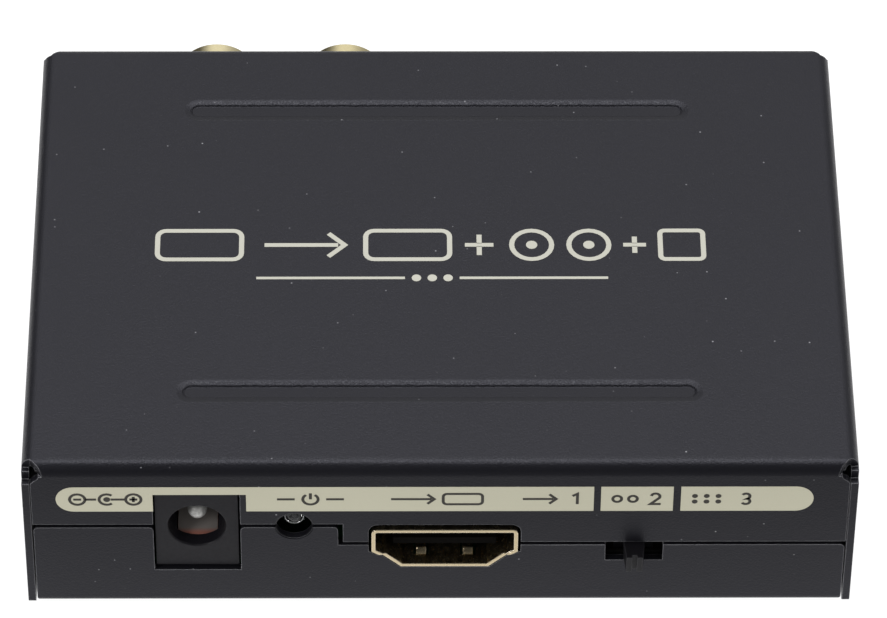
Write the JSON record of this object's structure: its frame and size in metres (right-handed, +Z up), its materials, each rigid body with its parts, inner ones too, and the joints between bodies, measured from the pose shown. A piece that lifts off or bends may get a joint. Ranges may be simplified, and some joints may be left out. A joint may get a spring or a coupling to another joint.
{
  "type": "audio extractor",
  "caption": "Flat black folded-steel converter box with power, video, phono and optical sockets, a slide switch and a lamp, that splits sound out of a video signal.",
  "frame": {"origin": "under the middle of the whole part, on the surface that the feet stand on", "axes": "+X to the right seen from the power socket side, along the width; +Y to the rear, where the phono sockets are; +Z up"},
  "size_m": [0.085, 0.0708, 0.022],
  "materials": {
    "cover_paint": "satin",
    "tray_paint": "satin",
    "black_screw_steel": "satin",
    "foot_rubber": "matt",
    "nickel_plated_brass": "satin",
    "zinc_plated_steel": "satin",
    "board_laminate": "satin",
    "gold_flashed_shell": "bright",
    "black_socket_moulding": "matt",
    "gold_contact": "bright",
    "nickel_pin": "bright",
    "bronze_leaf": "bright",
    "tinned_terminal": "satin",
    "switch_frame_steel": "satin",
    "switch_board_phenolic": "matt",
    "black_knob_moulding": "satin",
    "clear_lamp_epoxy": "clear",
    "gold_plated_shell": "bright",
    "white_insert": "gloss",
    "red_insert": "gloss",
    "spring_steel": "bright",
    "clear_emitter_epoxy": "clear",
    "chip_epoxy": "matt",
    "ferrite": "matt",
    "capacitor_can": "satin",
    "crystal_can": "satin",
    "header_moulding": "matt",
    "capacitor_ceramic": "matt",
    "resistor_ceramic": "matt"
  },
  "bodies": {
    "case": {"top_cover": "cover_paint", "base_tray": "tray_paint", "case_screws": "black_screw_steel", "rubber_feet": "foot_rubber", "board_standoffs": "nickel_plated_brass", "board_screws": "zinc_plated_steel", "circuit_board": "board_laminate", "video_in_shell": "gold_flashed_shell", "video_out_shell": "gold_flashed_shell", "video_in_insulator": "black_socket_moulding", "video_out_insulator": "black_socket_moulding", "power_jack_body": "black_socket_moulding", "phono_housing": "black_socket_moulding", "optical_body": "black_socket_moulding", "video_in_contacts": "gold_contact", "video_out_contacts": "gold_contact", "phono_centre_contacts": "gold_contact", "power_jack_pin": "nickel_pin", "power_jack_spring": "bronze_leaf", "power_jack_side_tag": "tinned_terminal", "switch_terminals": "tinned_terminal", "status_lamp_leads": "tinned_terminal", "phono_earth_legs": "tinned_terminal", "optical_terminals": "tinned_terminal", "switch_frame": "switch_frame_steel", "switch_base": "switch_board_phenolic", "status_lamp": "clear_lamp_epoxy", "phono_shell_left": "gold_plated_shell", "phono_shell_right": "gold_plated_shell", "phono_insert_left": "white_insert", "phono_insert_right": "red_insert", "optical_emitter": "clear_emitter_epoxy", "main_chip": "chip_epoxy", "audio_chip": "chip_epoxy", "memory_chip": "chip_epoxy", "regulator": "chip_epoxy", "power_inductor": "ferrite", "filter_capacitors": "capacitor_can", "crystal": "crystal_can", "service_header": "header_moulding", "chip_capacitors": "capacitor_ceramic", "chip_resistors": "resistor_ceramic"},
    "slide_knob": {"switch_knob": "black_knob_moulding", "switch_wiper": "bronze_leaf"},
    "shutter": {"optical_shutter": "black_socket_moulding", "optical_shutter_spring": "spring_steel"}
  },
  "joints": [
    {"name": "switch_slide", "type": "slide", "parent": "case", "child": "slide_knob", "axis": [1, 0, 0], "range_m": [-0.0015, 0.0015]},
    {"name": "shutter_hinge", "type": "hinge", "parent": "case", "child": "shutter", "pos_m": [0.0065, 0.0274, 0.0148], "axis": [-1, 0, 0], "range_deg": [0, 82], "stiffness_Nm_per_rad": 0.0001, "springref_deg": -17.19}
  ]
}
